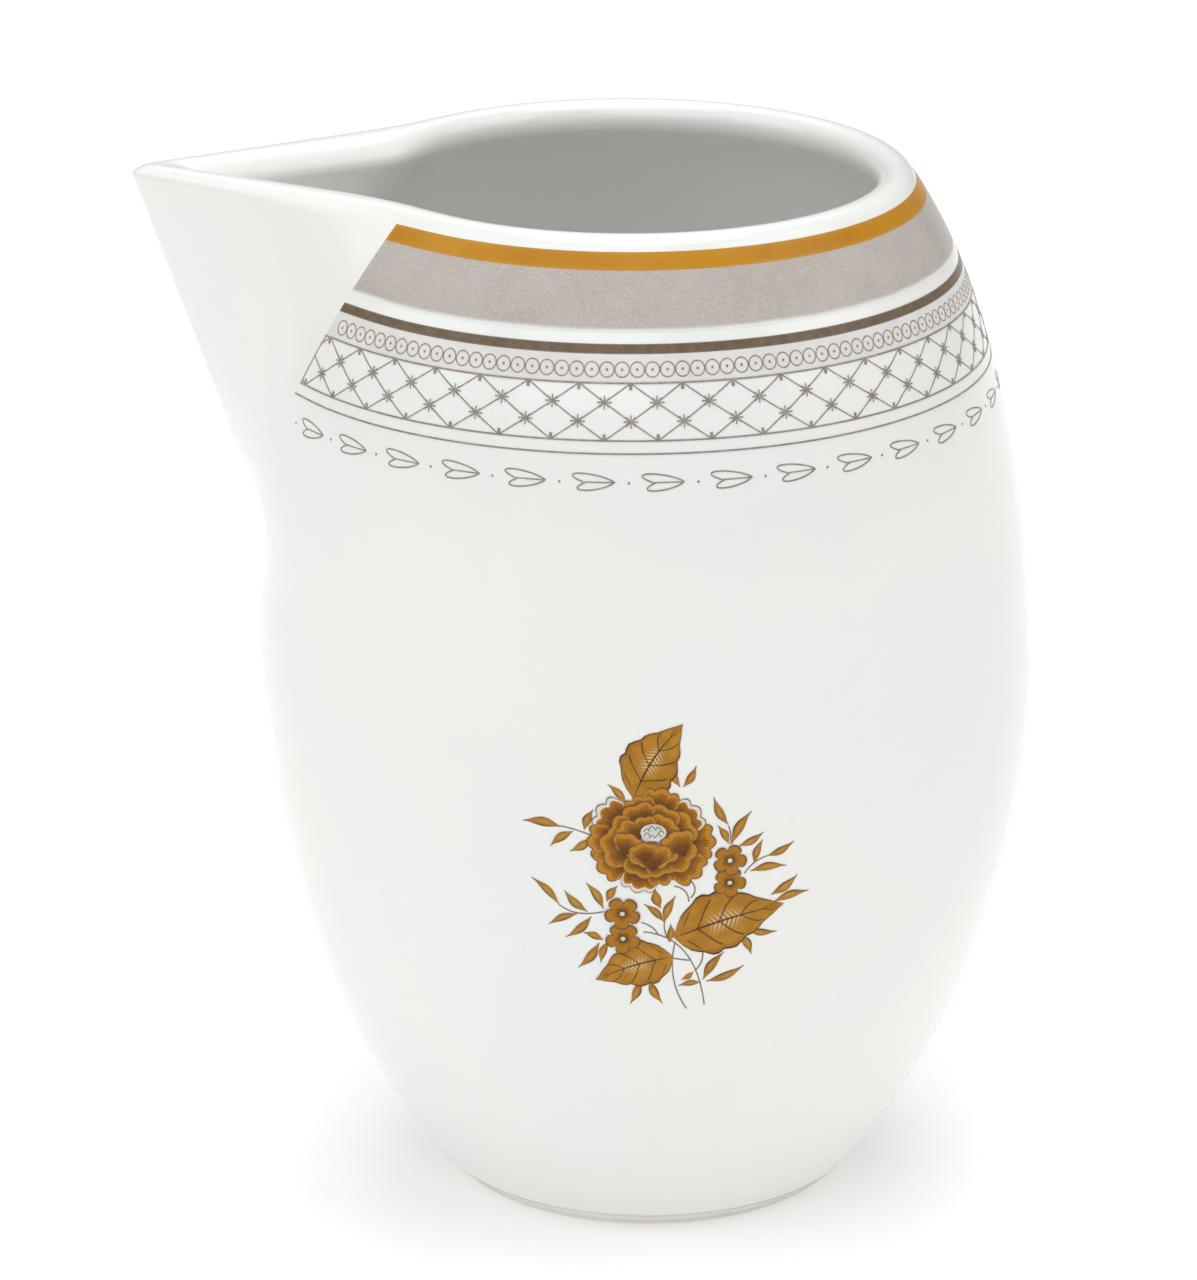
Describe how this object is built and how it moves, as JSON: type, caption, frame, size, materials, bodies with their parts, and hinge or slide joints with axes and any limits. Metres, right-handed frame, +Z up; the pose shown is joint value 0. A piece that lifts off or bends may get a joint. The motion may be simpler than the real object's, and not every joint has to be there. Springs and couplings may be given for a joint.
{
  "type": "cream jug",
  "caption": "Egg-shaped porcelain cream jug with a long drawn-out beak spout, no handle, printed border bands round the shoulder and a printed flower spray on the front.",
  "frame": {"origin": "centre of the foot, on the plane of the table", "axes": "+Z up along the body's axis, spout pointing along -X, +Y towards the side without the flower spray"},
  "size_m": [0.0933, 0.0809, 0.1092],
  "materials": {
    "glazed_porcelain": "clear glossy glaze over white porcelain",
    "bare_porcelain": "unglazed, matt and slightly warm",
    "ochre_print": "golden ochre print under glaze",
    "grey_print": "warm grey print under glaze, finely mottled",
    "taupe_print": "taupe print under glaze",
    "line_print": "fine grey-brown line print under glaze",
    "flower_print": "ochre and brown flower print under glaze"
  },
  "bodies": {
    "root": {"jug_body": "glazed_porcelain", "pouring_spout": "glazed_porcelain", "foot_ring": "bare_porcelain", "ochre_band": "ochre_print", "grey_band": "grey_print", "taupe_line": "taupe_print", "bead_border": "line_print", "lattice_border": "line_print", "leaf_border": "line_print", "bouquet": "flower_print"}
  },
  "joints": []
}
